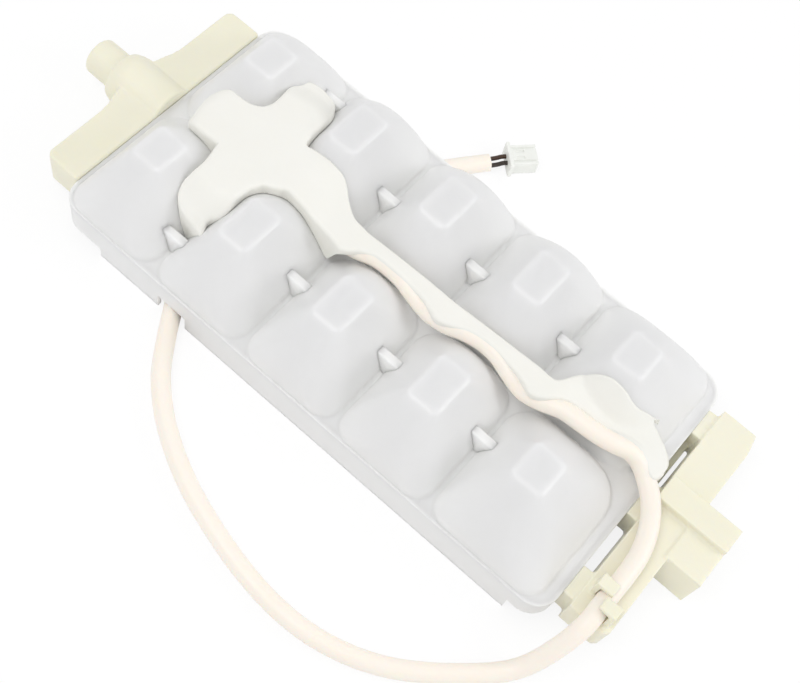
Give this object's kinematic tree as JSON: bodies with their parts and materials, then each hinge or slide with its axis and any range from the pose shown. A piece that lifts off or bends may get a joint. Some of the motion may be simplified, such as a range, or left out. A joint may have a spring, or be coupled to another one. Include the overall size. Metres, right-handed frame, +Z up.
{
  "type": "twist-release ice tray",
  "caption": "Ice maker tray with twist release, end fittings, ice sensor under a cover and a sensor cable.",
  "frame": {"origin": "centre of the footprint, without the free cable, on the surface that the splash walls stand on", "axes": "+X from the rear pin to the drive end along the pivot axis, +Y across the two rows of cups, +Z up, with the cup bottoms upwards as the tray lies upside down"},
  "size_m": [0.2446, 0.1725, 0.0362],
  "materials": {
    "tray_polymer": "slightly translucent cool grey polypropylene, fine satin moulding",
    "end_polymer": "cream moulded plastic, satin",
    "cover_polymer": "off-white moulded plastic, matte",
    "foam": "dark grey closed-cell foam",
    "capsule_epoxy": "dark potting compound",
    "bead_glass": "dark glass bead",
    "sleeve_pvc": "pinkish cream soft PVC sleeve, satin",
    "wire_brown": "brown PVC insulation",
    "wire_black": "black PVC insulation",
    "connector_nylon": "natural nylon, slightly translucent",
    "contact_brass": "tin-plated brass, stamped"
  },
  "bodies": {
    "tray_side": {"ice_tray": "tray_polymer", "drive_bracket": "end_polymer", "sensor_cover": "cover_polymer", "insulation_pad": "foam", "thermistor_capsule": "capsule_epoxy", "thermistor_bead": "bead_glass", "cable_run": "sleeve_pvc", "cable_loop": "sleeve_pvc", "wire_brown": "wire_brown", "wire_black": "wire_black", "connector_housing": "connector_nylon", "contact_brown": "contact_brass", "contact_black": "contact_brass"},
    "rear_side": {"rear_pivot_bar": "end_polymer"}
  },
  "joints": [
    {"name": "tray_twist", "type": "hinge", "parent": "tray_side", "child": "rear_side", "pos_m": [-0.09025, 0, 0.0095], "axis": [-1, 0, 0], "range_deg": [0, 22], "stiffness_Nm_per_rad": 0.05, "deforming": ["ice_tray", "sensor_cover", "insulation_pad", "cable_run"]}
  ]
}
